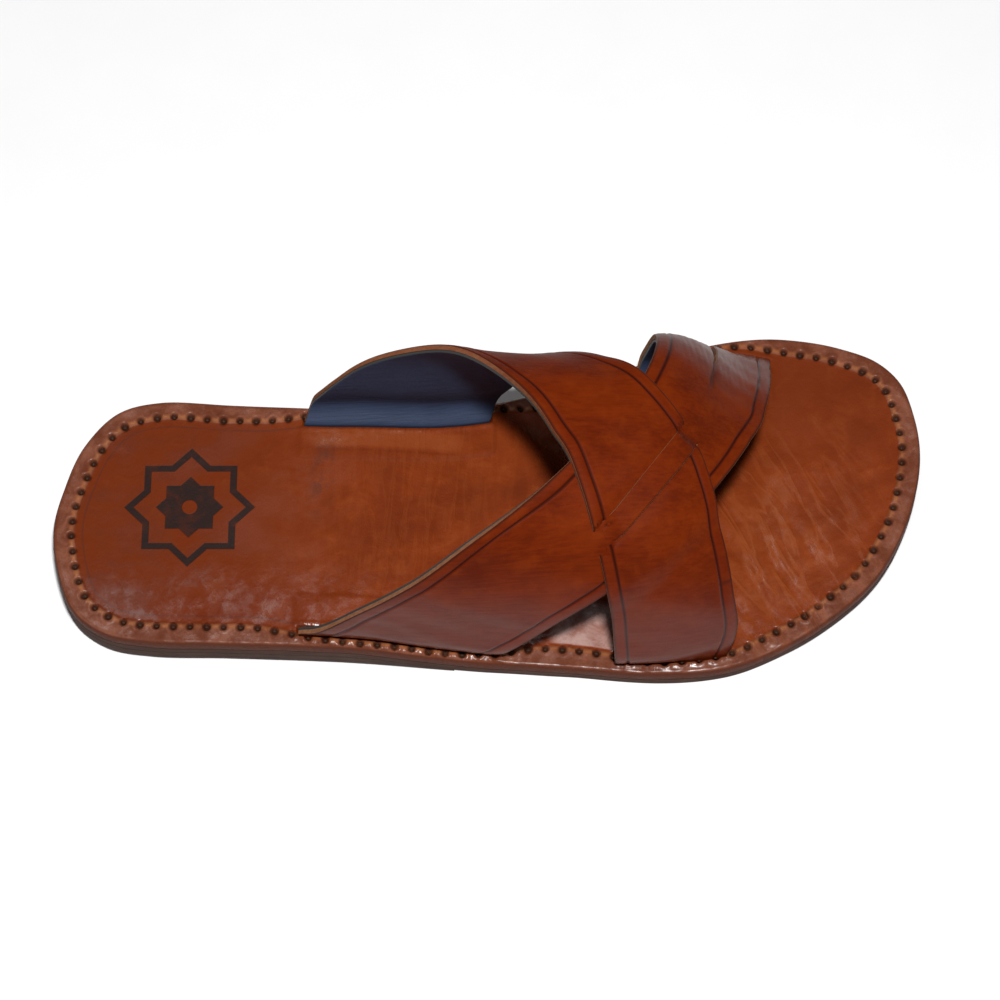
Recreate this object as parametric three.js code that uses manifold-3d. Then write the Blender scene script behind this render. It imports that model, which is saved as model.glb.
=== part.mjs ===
// A right-foot flat sandal: outsole, heel lift, insole, and an upper of two crossing straps with a keeper.
// Millimetres. +X runs from heel to toe, +Y to the big toe side, +Z up, and the sole stands on z = 0.
import * as THREE from "three";
import { mergeVertices } from "three/addons/utils/BufferGeometryUtils.js";
import Module from "manifold-3d";

const wasm = await Module();
wasm.setup();

// Driving sizes
const soleLength = 273;
const soleWidth = 118; // across the ball, the widest place of the outline
const outsoleThickness = 2.7;
const insoleThickness = 4.1;
const heelLiftThickness = 4.8;
const heelLiftLength = 126; // from the back of the heel to its skived front edge
const heelLiftSkive = 36; // the stretch over which the lift thins out
const heelLiftFeather = 0.6; // thickness left at the skived edge
const toeSpring = 4.2; // height of the outsole's tip over the floor
const toeSpringLength = 68; // measured back from the tip
const instepHeight = 74; // highest inside height of the straps over the insole
const strapThickness = 2.6; // leather and lining together
const slotInset = 6.4; // from the outline to the inner wall of a strap
const lipHeight = 6; // where a strap stands out most as it leaves its slot
const lipReach = 3.5; // how far it stands out there
const wallBulge = 4.5; // how far the big toe side of the last swells over its base
const tailLength = 12; // strap end held between insole and outsole
const tailThickness = 1.3;
const keeperWidth = 6.8;
const pressIn = 0.8; // how deep joined leathers sit in each other where they cross
const crossFade = 16; // distance over which the over strap comes back down on the last
const troughSpread = 2.2; // half width of the trough below the keeper, in half widths of the keeper
const keeperDip = 1; // how far the keeper presses the over strap down
const dartWidth = 3;
const dartHeight = 30;
const clearance = 0.3; // between pieces that touch

// Share of the sole's length and width. It starts at the heel's back and runs round by the little toe side.
const outlineTable = [
  { along: 0, across: -0.095 },
  { along: 0.011, across: -0.25 },
  { along: 0.031, across: -0.345 },
  { along: 0.067, across: -0.405 },
  { along: 0.117, across: -0.427 },
  { along: 0.203, across: -0.432 },
  { along: 0.331, across: -0.443 },
  { along: 0.46, across: -0.464 },
  { along: 0.588, across: -0.482 },
  { along: 0.694, across: -0.5 },
  { along: 0.774, across: -0.48 },
  { along: 0.844, across: -0.411 },
  { along: 0.899, across: -0.327 },
  { along: 0.944, across: -0.227 },
  { along: 0.976, across: -0.098 },
  { along: 0.995, across: 0.038 },
  { along: 1, across: 0.144 },
  { along: 0.996, across: 0.242 },
  { along: 0.982, across: 0.348 },
  { along: 0.955, across: 0.419 },
  { along: 0.913, across: 0.465 },
  { along: 0.866, across: 0.492 },
  { along: 0.821, across: 0.5 },
  { along: 0.749, across: 0.476 },
  { along: 0.662, across: 0.41 },
  { along: 0.552, across: 0.327 },
  { along: 0.441, across: 0.277 },
  { along: 0.331, across: 0.265 },
  { along: 0.203, across: 0.274 },
  { along: 0.117, across: 0.283 },
  { along: 0.067, across: 0.249 },
  { along: 0.031, across: 0.153 },
  { along: 0.011, across: 0.034 },
];

// Height of the last over the insole, as a share of instepHeight.
const riseTable = [
  { along: 0.275, rise: 0.95 },
  { along: 0.35, rise: 1 },
  { along: 0.441, rise: 0.985 },
  { along: 0.533, rise: 0.84 },
  { along: 0.624, rise: 0.745 },
  { along: 0.698, rise: 0.675 },
  { along: 0.771, rise: 0.525 },
  { along: 0.834, rise: 0.39 },
];

// Sides of the last. full is the power of the section's rounding: 2 is an ellipse and more is boxier.
// inset is a share of slotInset, lip of lipReach and bulge of wallBulge.
const littleToeSide = [
  { along: 0.275, full: 2.4, inset: 1, lip: 0.3, bulge: 0 },
  { along: 0.35, full: 2.4, inset: 1, lip: 0.45, bulge: 0 },
  { along: 0.441, full: 2.4, inset: 1, lip: 0.6, bulge: 0 },
  { along: 0.533, full: 2.4, inset: 1, lip: 0.7, bulge: 0 },
  { along: 0.624, full: 2.3, inset: 1, lip: 0.85, bulge: 0 },
  { along: 0.698, full: 2.2, inset: 1.05, lip: 0.45, bulge: 0 },
  { along: 0.771, full: 2.1, inset: 1.15, lip: 0, bulge: 0 },
  { along: 0.834, full: 2, inset: 1.15, lip: 0, bulge: 0 },
];
const bigToeSide = [
  { along: 0.275, full: 2.6, inset: 1, lip: 0.85, bulge: 0.8 },
  { along: 0.35, full: 3, inset: 1, lip: 1, bulge: 1 },
  { along: 0.441, full: 3.15, inset: 1, lip: 1, bulge: 0.9 },
  { along: 0.533, full: 2.8, inset: 1, lip: 0.85, bulge: 0.6 },
  { along: 0.624, full: 2.5, inset: 1, lip: 0.6, bulge: 0.4 },
  { along: 0.698, full: 2.5, inset: 1, lip: 0.6, bulge: 0.45 },
  { along: 0.771, full: 1.5, inset: 1.1, lip: 0, bulge: 0 },
  { along: 0.834, full: 1.3, inset: 1.8, lip: 0, bulge: 0 },
];

// Edges of both straps as shares of the sole's length. turn is the angle round the last in degrees,
// from the slot of the little toe side, 0, over the top to the slot of the big toe side, 180.
const strapTable = [
  { turn: 0, underRear: 0.285, underFront: 0.496, overRear: 0.643, overFront: 0.768 },
  { turn: 15, underRear: 0.327, underFront: 0.542, overRear: 0.64, overFront: 0.776 },
  { turn: 30, underRear: 0.366, underFront: 0.587, overRear: 0.636, overFront: 0.769 },
  { turn: 45, underRear: 0.41, underFront: 0.652, overRear: 0.627, overFront: 0.76 },
  { turn: 60, underRear: 0.467, underFront: 0.716, overRear: 0.614, overFront: 0.748 },
  { turn: 75, underRear: 0.552, underFront: 0.76, overRear: 0.597, overFront: 0.736 },
  { turn: 90, underRear: 0.613, underFront: 0.787, overRear: 0.574, overFront: 0.72 },
  { turn: 105, underRear: 0.662, underFront: 0.804, overRear: 0.535, overFront: 0.691 },
  { turn: 120, underRear: 0.69, underFront: 0.81, overRear: 0.457, overFront: 0.649 },
  { turn: 135, underRear: 0.697, underFront: 0.815, overRear: 0.367, overFront: 0.585 },
  { turn: 150, underRear: 0.701, underFront: 0.819, overRear: 0.323, overFront: 0.545 },
  { turn: 165, underRear: 0.706, underFront: 0.823, overRear: 0.301, overFront: 0.518 },
  { turn: 180, underRear: 0.712, underFront: 0.828, overRear: 0.285, overFront: 0.501 },
];

// The keeper along its length: its middle as a share across the under strap, its rise as a share of the full
// one, and the share of its thickness by which its faces draw in where it merges with the strap.
const keeperTable = [
  { turn: 50, centre: 0.64, lift: 0, merge: 0.3 },
  { turn: 56, centre: 0.635, lift: 0.06, merge: 0.1 },
  { turn: 60, centre: 0.63, lift: 0.55, merge: 0 },
  { turn: 63, centre: 0.625, lift: 1, merge: 0 },
  { turn: 75, centre: 0.6, lift: 1, merge: 0 },
  { turn: 91, centre: 0.585, lift: 1, merge: 0 },
  { turn: 94, centre: 0.58, lift: 0.55, merge: 0 },
  { turn: 98, centre: 0.575, lift: 0.06, merge: 0.1 },
  { turn: 104, centre: 0.57, lift: 0, merge: 0.3 },
];
const keeperOpening = { from: 62, to: 92 }; // turns between which the slits part it from the under strap

// Edge sections of the sole layers, from the lower face to the upper one, in millimetres of inset
// and shares of the layer's thickness.
const outsoleEdge = [
  { inset: 0.4, rise: 0 },
  { inset: 0, rise: 0.2 },
  { inset: 0, rise: 0.88 },
  { inset: 0.25, rise: 1 },
];
const liftEdge = [
  { inset: 1, rise: 0 },
  { inset: 0.3, rise: 0.2 },
  { inset: 0, rise: 0.45 },
  { inset: 0, rise: 1 },
];
const insoleEdge = [
  { inset: 0.25, rise: 0 },
  { inset: 0, rise: 0.1 },
  { inset: 0, rise: 0.6 },
  { inset: 0.35, rise: 0.88 },
  { inset: 1.2, rise: 1 },
];

const outlineSteps = 660; // points taken from the outline's curve
const stations = 48; // cross lines of a sole layer
const crossCells = 4; // cells on each cross line
const strapRows = 50; // rows of a strap over the last
const rowCrowding = 0.5; // how much closer the rows lie at the slots: 0 is even and 1 the most
const strapCells = 8; // cells across a strap
const keeperRows = 26; // rows of the keeper
const keeperCells = 2; // cells across it
const openingRows = 10; // rows of the opening below it
const slotCells = 16; // cells along a slot
const probe = 0.5; // step, in millimetres or degrees, over which a slope is taken

// Small helpers
const clamp01 = (v) => Math.min(1, Math.max(0, v));
const smooth = (v) => clamp01(v) ** 2 * (3 - 2 * clamp01(v));
const radians = (degrees) => (degrees * Math.PI) / 180;
const xAt = (along) => (along - 0.5) * soleLength;

// A smooth curve through one column of a table: a cubic between rows whose slopes follow their neighbours.
function column(table, key, name) {
  const slope = (i) => {
    const a = table[Math.max(0, i - 1)];
    const b = table[Math.min(table.length - 1, i + 1)];
    return (b[name] - a[name]) / (b[key] - a[key]);
  };
  return (at) => {
    let i = 0;
    while (i < table.length - 2 && at > table[i + 1][key]) i++;
    const span = table[i + 1][key] - table[i][key];
    const t = clamp01((at - table[i][key]) / span);
    const rise = table[i + 1][name] - table[i][name];
    return (
      table[i][name] +
      t * (slope(i) * span + t * (3 * rise - span * (2 * slope(i) + slope(i + 1)))) +
      t * t * t * (span * (slope(i) + slope(i + 1)) - 2 * rise)
    );
  };
}

const columns = (table, key) =>
  Object.fromEntries(Object.keys(table[0]).map((name) => [name, column(table, key, name)]));
const last = columns(riseTable, "along");
const sides = {
  lateral: { ...columns(littleToeSide, "along"), way: -1 },
  medial: { ...columns(bigToeSide, "along"), way: 1 },
};
const strap = columns(strapTable, "turn");
const keeper = columns(keeperTable, "turn");

// Outline of the sole
const outline = new THREE.CatmullRomCurve3(
  outlineTable.map((p) => new THREE.Vector3(xAt(p.along), p.across * soleWidth, 0)),
  true,
  "centripetal",
).getPoints(outlineSteps);
const toeIndex = outline.reduce((best, p, i) => (p.x > outline[best].x ? i : best), 0);
const lateralSide = outline.slice(0, toeIndex + 1);
const medialSide = outline.slice(toeIndex).reverse();

// The outline's y on one side at x.
function edgeY(side, x) {
  const i = side.findIndex((p) => p.x >= x);
  if (i < 1) return i === 0 ? side[0].y : side[side.length - 1].y;
  const t = (x - side[i - 1].x) / (side[i].x - side[i - 1].x);
  return side[i - 1].y + t * (side[i].y - side[i - 1].y);
}

// Heights along the sole
const heelBack = -soleLength / 2;
const liftEnd = heelBack + heelLiftLength;
const springStart = soleLength / 2 - toeSpringLength;
// The sole comes down from the heel in one soft ramp, which the lift fills until only its feather is left.
const heelRaise = heelLiftThickness + clearance;
const rampShare = 0.5 - Math.sin(Math.asin((2 * (heelLiftFeather + clearance)) / heelRaise - 1) / 3);
const ramp = (x) => heelRaise * (1 - smooth(((x - liftEnd + heelLiftSkive) / heelLiftSkive) * rampShare));
const liftTop = (x) => Math.max(ramp(x) - clearance, heelLiftFeather / 2);
const springAt = (x) => toeSpring * clamp01((x - springStart) / toeSpringLength) ** 2;
const outsoleBottom = (x) => ramp(x) + springAt(x);
const outsoleTop = (x) => outsoleBottom(x) + outsoleThickness;
const insoleBottom = (x) => outsoleTop(x) + clearance;
const insoleTop = (x) => insoleBottom(x) + insoleThickness;

// Solids
function solidOf(positions, triangles) {
  const geometry = new THREE.BufferGeometry();
  geometry.setAttribute("position", new THREE.Float32BufferAttribute(positions.flat(), 3));
  geometry.setIndex(triangles.flat());
  return manifoldOf(geometry);
}

function manifoldOf(geometry) {
  geometry.deleteAttribute("normal");
  geometry.deleteAttribute("uv");
  const merged = mergeVertices(geometry, 1e-4);
  return new wasm.Manifold(
    new wasm.Mesh({
      numProp: 3,
      vertProperties: merged.attributes.position.array,
      triVerts: new Uint32Array(merged.index.array),
    }),
  );
}

// A closed wall between two grids of points, grid[row][cell], with the first one facing out.
function wallSolid(outer, inner) {
  const rows = outer.length;
  const cells = outer[0].length;
  const positions = [...outer.flat(), ...inner.flat()];
  const o = (r, c) => r * cells + c;
  const n = (r, c) => rows * cells + r * cells + c;
  const triangles = [];
  const quad = (a, b, c, d) => triangles.push([a, b, c], [a, c, d]);
  for (let r = 0; r < rows - 1; r++) {
    for (let c = 0; c < cells - 1; c++) {
      quad(o(r, c), o(r, c + 1), o(r + 1, c + 1), o(r + 1, c));
      quad(n(r, c), n(r + 1, c), n(r + 1, c + 1), n(r, c + 1));
    }
    quad(o(r, 0), o(r + 1, 0), n(r + 1, 0), n(r, 0));
    quad(o(r, cells - 1), n(r, cells - 1), n(r + 1, cells - 1), o(r + 1, cells - 1));
  }
  for (let c = 0; c < cells - 1; c++) {
    quad(o(0, c), n(0, c), n(0, c + 1), o(0, c + 1));
    quad(o(rows - 1, c), o(rows - 1, c + 1), n(rows - 1, c + 1), n(rows - 1, c));
  }
  return solidOf(positions, triangles);
}

// A layer of the sole: rings of the outline, moved in and up by an edge section, closed by two faces
// of straight cross lines.
function layerSolid(bottom, top, edge) {
  const points = [];
  for (let i = 0; i <= stations; i++) {
    const x = lateralSide[0].x * (1 + Math.cos((Math.PI * i) / stations)) * 0.5;
    points.push(x + outline[toeIndex].x * (1 - Math.cos((Math.PI * i) / stations)) * 0.5);
  }
  const ring = [
    ...points.map((x) => [x, edgeY(lateralSide, x)]),
    ...points.slice(1, -1).reverse().map((x) => [x, edgeY(medialSide, x)]),
  ];
  const size = ring.length;
  const inward = ring.map((p, i) => {
    const [ax, ay] = ring[(i + size - 1) % size];
    const [bx, by] = ring[(i + 1) % size];
    const reach = Math.hypot(bx - ax, by - ay);
    return [(ay - by) / reach, (bx - ax) / reach];
  });
  const positions = [];
  for (const { inset, rise } of edge)
    ring.forEach(([x, y], i) => {
      const z = bottom(x) + rise * (top(x) - bottom(x));
      positions.push([x + inset * inward[i][0], y + inset * inward[i][1], z]);
    });
  const triangles = [];
  for (let k = 0; k < edge.length - 1; k++)
    for (let i = 0; i < size; i++) {
      const j = (i + 1) % size;
      triangles.push([k * size + i, k * size + j, k * size + size + j]);
      triangles.push([k * size + i, k * size + size + j, k * size + size + i]);
    }
  for (const [first, height, up] of [[0, bottom, false], [(edge.length - 1) * size, top, true]]) {
    const lines = [];
    for (let i = 1; i < stations; i++) {
      const a = positions[first + i];
      const b = positions[first + size - i];
      const line = [first + i];
      for (let j = 1; j < crossCells; j++) {
        const x = a[0] + ((b[0] - a[0]) * j) / crossCells;
        line.push(positions.push([x, a[1] + ((b[1] - a[1]) * j) / crossCells, height(x)]) - 1);
      }
      lines.push([...line, first + size - i]);
    }
    const face = (a, b, c) => triangles.push(up ? [a, b, c] : [a, c, b]);
    for (let j = 0; j < crossCells; j++) {
      face(first, lines[0][j], lines[0][j + 1]);
      face(first + stations, lines[stations - 2][j + 1], lines[stations - 2][j]);
      for (let i = 0; i < lines.length - 1; i++) {
        face(lines[i][j], lines[i + 1][j], lines[i + 1][j + 1]);
        face(lines[i][j], lines[i + 1][j + 1], lines[i][j + 1]);
      }
    }
  }
  return solidOf(positions, triangles);
}

// The last
const alongOf = (x) => x / soleLength + 0.5;
sides.lateral.base = (x) => edgeY(lateralSide, x) + slotInset * sides.lateral.inset(alongOf(x));
sides.medial.base = (x) => edgeY(medialSide, x) - slotInset * sides.medial.inset(alongOf(x));

// The level way out of the last, square to the slot line of one side at x.
function slotWay(side, x) {
  const slope = (side.base(x + probe) - side.base(x - probe)) / (2 * probe);
  return new THREE.Vector3(-slope, 1, 0).normalize().multiplyScalar(side.way);
}

// A point of the slot line of one side, moved out by offset across the line, at height z.
function slotPoint(side, x, offset, z) {
  return new THREE.Vector3(x, side.base(x), z).addScaledVector(slotWay(side, x), offset).toArray();
}

// A point of the last at x and turn: a superellipse over the slot lines, with a lip at each slot and a
// bulge of the big toe side.
function lastPoint(x, turn) {
  const along = alongOf(x);
  const side = turn < 90 ? sides.lateral : sides.medial;
  const cos = Math.cos(radians(turn));
  const sin = Math.sin(radians(turn));
  const full = side.full(along);
  const half = (sides.medial.base(x) - sides.lateral.base(x)) / 2;
  const rise = instepHeight * last.rise(along);
  const reach = ((Math.abs(cos) / half) ** full + (sin / rise) ** full) ** (-1 / full);
  const height = reach * sin;
  const share = height / lipHeight;
  const lip = lipReach * side.lip(along) * share ** 2 * Math.exp(2 - 2 * share);
  const bulge = wallBulge * side.bulge(along) * Math.sin(Math.PI * clamp01(height / rise));
  const y = sides.lateral.base(x) + half - reach * cos + side.way * (lip + bulge);
  return new THREE.Vector3(x, y, insoleTop(x) + height);
}

// The same point moved out along the surface's normal, which stays level as the strap leaves its slot.
function offsetPoint(x, turn, offset) {
  const point = lastPoint(x, turn);
  const alongX = lastPoint(x + probe, turn).sub(lastPoint(x - probe, turn));
  const ahead = lastPoint(x, Math.min(180, turn + probe));
  const round = ahead.sub(lastPoint(x, Math.max(0, turn - probe)));
  const normal = alongX.cross(round).normalize();
  const level = slotWay(turn < 90 ? sides.lateral : sides.medial, x);
  const free = smooth((point.z - insoleTop(x)) / lipHeight);
  return point.addScaledVector(level.lerp(normal, free).normalize(), offset).toArray();
}

// Share across the under strap at x and turn: 0 at its rear edge and 1 at its front edge.
const crossLift = strapThickness - pressIn;
const keeperLift = crossLift + strapThickness - keeperDip - pressIn;
const acrossUnder = (x, turn) => {
  const rear = xAt(strap.underRear(turn));
  return (x - rear) / (xAt(strap.underFront(turn)) - rear);
};
// The under strap's width square to its run, where the keeper is cut from it.
const keeperTurn = 75;
const underWidth = (() => {
  const at = (share, turn) => {
    const x = xAt(strap.underRear(turn) + share * (strap.underFront(turn) - strap.underRear(turn)));
    return lastPoint(x, turn);
  };
  const share = keeper.centre(keeperTurn);
  const run = at(share, keeperTurn + 5).sub(at(share, keeperTurn - 5)).normalize();
  const span = at(1, keeperTurn).sub(at(0, keeperTurn));
  return span.addScaledVector(run, -span.dot(run)).length();
})();
const keeperHalf = keeperWidth / 2 / underWidth; // as a share across the under strap

// How far the over strap stands off the last: up on the under strap, and down again beyond its edges,
// with a soft trough below the keeper.
function overLift(x, turn) {
  const share = acrossUnder(x, turn);
  const width = xAt(strap.underFront(turn)) - xAt(strap.underRear(turn));
  const beyond = Math.max(0, -share, share - 1) * width;
  const trough = smooth(1 - Math.abs(share - keeper.centre(turn)) / (keeperHalf * troughSpread));
  return crossLift * smooth(1 - beyond / crossFade) - keeperDip * trough * keeper.lift(turn);
}

// A strap between two edge curves, with its ends down through the slots and bent in under the insole.
function strapSolid(rear, front, lift) {
  const outer = [];
  const inner = [];
  const placeX = (turn, c) => xAt(rear(turn) + ((front(turn) - rear(turn)) * c) / strapCells);
  const slotRow = (side, turn, offset, height) =>
    Array.from({ length: strapCells + 1 }, (_, c) => {
      const x = placeX(turn, c);
      return slotPoint(side, x, offset, height(x));
    });
  const tailTop = (x) => insoleBottom(x) + tailThickness;
  const endRows = (side, turn) => [
    [slotRow(side, turn, -tailLength, insoleBottom), slotRow(side, turn, -tailLength, tailTop)],
    [slotRow(side, turn, strapThickness, insoleBottom), slotRow(side, turn, 0, tailTop)],
    [slotRow(side, turn, strapThickness, insoleTop), slotRow(side, turn, 0, insoleTop)],
  ];
  const addRow = (outerRow, innerRow) => {
    outer.push(outerRow);
    inner.push(innerRow);
  };
  endRows(sides.lateral, 0).forEach((rows) => addRow(...rows));
  for (let r = 1; r < strapRows; r++) {
    const even = r / strapRows;
    const turn = 180 * (even - (rowCrowding * Math.sin(2 * Math.PI * even)) / (2 * Math.PI));
    const row = (offset) =>
      Array.from({ length: strapCells + 1 }, (_, c) => {
        const x = placeX(turn, c);
        return offsetPoint(x, turn, lift(x, turn) + offset);
      });
    addRow(row(strapThickness), row(0));
  }
  endRows(sides.medial, 180).reverse().forEach((rows) => addRow(...rows));
  return wallSolid(outer, inner);
}

// The strip of the under strap that the keeper is cut from, between two faces off the last.
function keeperStrip(turns, cells, innerOffset, outerOffset) {
  const grid = (offset) =>
    turns.map((turn) =>
      Array.from({ length: cells + 1 }, (_, c) => {
        const share = keeper.centre(turn) + keeperHalf * ((2 * c) / cells - 1);
        const along = strap.underRear(turn) + share * (strap.underFront(turn) - strap.underRear(turn));
        return offsetPoint(xAt(along), turn, offset(turn));
      }),
    );
  return wallSolid(grid(outerOffset), grid(innerOffset));
}

const turnsBetween = (from, to, count) =>
  Array.from({ length: count + 1 }, (_, i) => from + ((to - from) * i) / count);

function upperSolid() {
  const under = strapSolid(strap.underRear, strap.underFront, () => 0);
  const over = strapSolid(strap.overRear, strap.overFront, overLift);
  const through = strapThickness * 2;
  const opening = keeperStrip(
    turnsBetween(keeperOpening.from, keeperOpening.to, openingRows),
    keeperCells,
    () => -through,
    () => through,
  );
  const strip = keeperStrip(
    turnsBetween(keeperTable[0].turn, keeperTable.at(-1).turn, keeperRows),
    keeperCells,
    (turn) => keeperLift * keeper.lift(turn) + strapThickness * keeper.merge(turn),
    (turn) => keeperLift * keeper.lift(turn) + strapThickness * (1 - keeper.merge(turn)),
  );
  return under.subtract(dartSolid()).subtract(opening).add(over).add(strip);
}

// The dart of the under strap's end on the big toe side: a narrow wedge, wide at the slot.
function dartSolid() {
  const x = xAt((strap.underRear(180) + strap.underFront(180)) / 2);
  const foot = insoleTop(x) - insoleThickness / 2;
  const y = edgeY(medialSide, x);
  const shape = new THREE.Shape([
    new THREE.Vector2(-dartWidth / 2, 0),
    new THREE.Vector2(dartWidth / 2, 0),
    new THREE.Vector2(clearance / 2, dartHeight),
    new THREE.Vector2(-clearance / 2, dartHeight),
  ]);
  const wedge = new THREE.ExtrudeGeometry(shape, { depth: soleWidth / 3, bevelEnabled: false });
  wedge.rotateX(Math.PI / 2).translate(x, y + strapThickness, foot);
  return manifoldOf(wedge);
}

// What a strap end needs in the insole: a slot for the strap and a pocket below for its tail.
function slotSolid(side, turn, rear, front) {
  const from = xAt(rear(turn)) - clearance;
  const to = xAt(front(turn)) + clearance;
  const room = (outOffset, inOffset, low, high) => {
    const row = (offset, height) =>
      Array.from({ length: slotCells + 1 }, (_, c) => {
        const x = from + ((to - from) * c) / slotCells;
        return slotPoint(side, x, offset, height(x));
      });
    const top = [row(outOffset, high), row(inOffset, high)];
    const base = [row(outOffset, low), row(inOffset, low)];
    return side.way < 0 ? wallSolid(top, base) : wallSolid(top.reverse(), base.reverse());
  };
  const below = (x) => insoleBottom(x) - insoleThickness / 2;
  const above = (x) => insoleTop(x) + insoleThickness / 2;
  const pocketTop = (x) => insoleBottom(x) + tailThickness + clearance;
  const slot = room(strapThickness + clearance, -clearance, below, above);
  return slot.add(room(strapThickness + clearance, -tailLength - clearance, below, pocketTop));
}

function insoleSolid() {
  return layerSolid(insoleBottom, insoleTop, insoleEdge)
    .subtract(slotSolid(sides.lateral, 0, strap.underRear, strap.underFront))
    .subtract(slotSolid(sides.lateral, 0, strap.overRear, strap.overFront))
    .subtract(slotSolid(sides.medial, 180, strap.underRear, strap.underFront))
    .subtract(slotSolid(sides.medial, 180, strap.overRear, strap.overFront));
}

function heelLiftSolid() {
  const block = new THREE.BoxGeometry(heelLiftLength * 2, soleWidth * 2, heelLiftThickness * 4);
  block.translate(liftEnd - heelLiftLength, 0, 0);
  return layerSolid(() => 0, liftTop, liftEdge).intersect(manifoldOf(block));
}

// The sandal
const sandal = new THREE.Group();

function addPiece(name, solid, colour, roughness) {
  const mesh = solid.getMesh();
  const geometry = new THREE.BufferGeometry();
  geometry.setAttribute("position", new THREE.Float32BufferAttribute(mesh.vertProperties, 3));
  geometry.setIndex(new THREE.BufferAttribute(mesh.triVerts, 1));
  geometry.computeVertexNormals();
  const material = new THREE.MeshStandardMaterial({ color: colour, roughness, metalness: 0 });
  const piece = new THREE.Mesh(geometry, material);
  piece.name = name;
  sandal.add(piece);
}

addPiece("outsole", layerSolid(outsoleBottom, outsoleTop, outsoleEdge), 0x4f2f26, 0.55);
addPiece("heel_lift", heelLiftSolid(), 0x55362b, 0.6);
addPiece("insole", insoleSolid(), 0x9a4f1e, 0.4);
addPiece("upper", upperSolid(), 0x854019, 0.4);

export default sandal;
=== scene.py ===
# Looks of a right-foot flat leather sandal: sole layers, stitched footbed and two crossing lined straps.
# Shapes are worked out in millimetres, with the solids' own named sizes, and written in metres.
import bpy
import numpy as np
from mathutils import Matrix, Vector


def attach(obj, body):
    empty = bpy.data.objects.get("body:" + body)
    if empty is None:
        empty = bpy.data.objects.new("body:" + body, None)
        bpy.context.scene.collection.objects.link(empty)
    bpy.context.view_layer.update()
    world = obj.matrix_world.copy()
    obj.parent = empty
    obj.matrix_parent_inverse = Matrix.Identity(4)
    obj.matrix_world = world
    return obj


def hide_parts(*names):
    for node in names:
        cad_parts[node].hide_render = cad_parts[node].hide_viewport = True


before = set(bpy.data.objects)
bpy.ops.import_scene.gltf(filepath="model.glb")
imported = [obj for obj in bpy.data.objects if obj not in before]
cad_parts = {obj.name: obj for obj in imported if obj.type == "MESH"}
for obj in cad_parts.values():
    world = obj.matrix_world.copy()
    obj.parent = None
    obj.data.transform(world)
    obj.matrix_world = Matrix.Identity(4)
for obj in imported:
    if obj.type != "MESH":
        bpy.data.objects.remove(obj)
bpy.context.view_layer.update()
print("frame loaded:", ", ".join(sorted(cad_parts)))

# Sizes shared with the solids
size = {
    "soleLength": 273, "soleWidth": 118, "outsoleThickness": 2.7, "insoleThickness": 4.1,
    "heelLiftThickness": 4.8, "heelLiftLength": 126, "heelLiftSkive": 36, "heelLiftFeather": 0.6,
    "toeSpring": 4.2, "toeSpringLength": 68, "instepHeight": 74, "strapThickness": 2.6,
    "slotInset": 6.4, "lipHeight": 6, "lipReach": 3.5, "wallBulge": 4.5, "tailLength": 12,
    "keeperWidth": 6.8, "pressIn": 0.8, "crossFade": 16, "troughSpread": 2.2, "keeperDip": 1,
    "clearance": 0.3,
}

# Share of the sole's length and width, from the heel's back round by the little toe side.
outlineTable = np.array([
    (0, -0.095), (0.011, -0.25), (0.031, -0.345), (0.067, -0.405), (0.117, -0.427), (0.203, -0.432),
    (0.331, -0.443), (0.46, -0.464), (0.588, -0.482), (0.694, -0.5), (0.774, -0.48), (0.844, -0.411),
    (0.899, -0.327), (0.944, -0.227), (0.976, -0.098), (0.995, 0.038), (1, 0.144), (0.996, 0.242),
    (0.982, 0.348), (0.955, 0.419), (0.913, 0.465), (0.866, 0.492), (0.821, 0.5), (0.749, 0.476),
    (0.662, 0.41), (0.552, 0.327), (0.441, 0.277), (0.331, 0.265), (0.203, 0.274), (0.117, 0.283),
    (0.067, 0.249), (0.031, 0.153), (0.011, 0.034),
])
# along, height of the last as a share of instepHeight
riseTable = [
    (0.275, 0.95), (0.35, 1), (0.441, 0.985), (0.533, 0.84),
    (0.624, 0.745), (0.698, 0.675), (0.771, 0.525), (0.834, 0.39),
]
# along, full, inset, lip, bulge
littleToeSide = [
    (0.275, 2.4, 1, 0.3, 0), (0.35, 2.4, 1, 0.45, 0), (0.441, 2.4, 1, 0.6, 0), (0.533, 2.4, 1, 0.7, 0),
    (0.624, 2.3, 1, 0.85, 0), (0.698, 2.2, 1.05, 0.45, 0), (0.771, 2.1, 1.15, 0, 0), (0.834, 2, 1.15, 0, 0),
]
bigToeSide = [
    (0.275, 2.6, 1, 0.85, 0.8), (0.35, 3, 1, 1, 1), (0.441, 3.15, 1, 1, 0.9), (0.533, 2.8, 1, 0.85, 0.6),
    (0.624, 2.5, 1, 0.6, 0.4), (0.698, 2.5, 1, 0.6, 0.45), (0.771, 1.5, 1.1, 0, 0), (0.834, 1.3, 1.8, 0, 0),
]
# turn round the last, then the rear and front edges of the under strap and of the over strap
strapTable = [
    (0, 0.285, 0.496, 0.643, 0.768), (15, 0.327, 0.542, 0.64, 0.776), (30, 0.366, 0.587, 0.636, 0.769),
    (45, 0.41, 0.652, 0.627, 0.76), (60, 0.467, 0.716, 0.614, 0.748), (75, 0.552, 0.76, 0.597, 0.736),
    (90, 0.613, 0.787, 0.574, 0.72), (105, 0.656, 0.804, 0.535, 0.691), (120, 0.68, 0.811, 0.457, 0.649),
    (135, 0.69, 0.817, 0.367, 0.585), (150, 0.689, 0.822, 0.323, 0.545), (165, 0.683, 0.825, 0.301, 0.518),
    (180, 0.674, 0.828, 0.285, 0.501),
]
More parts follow.
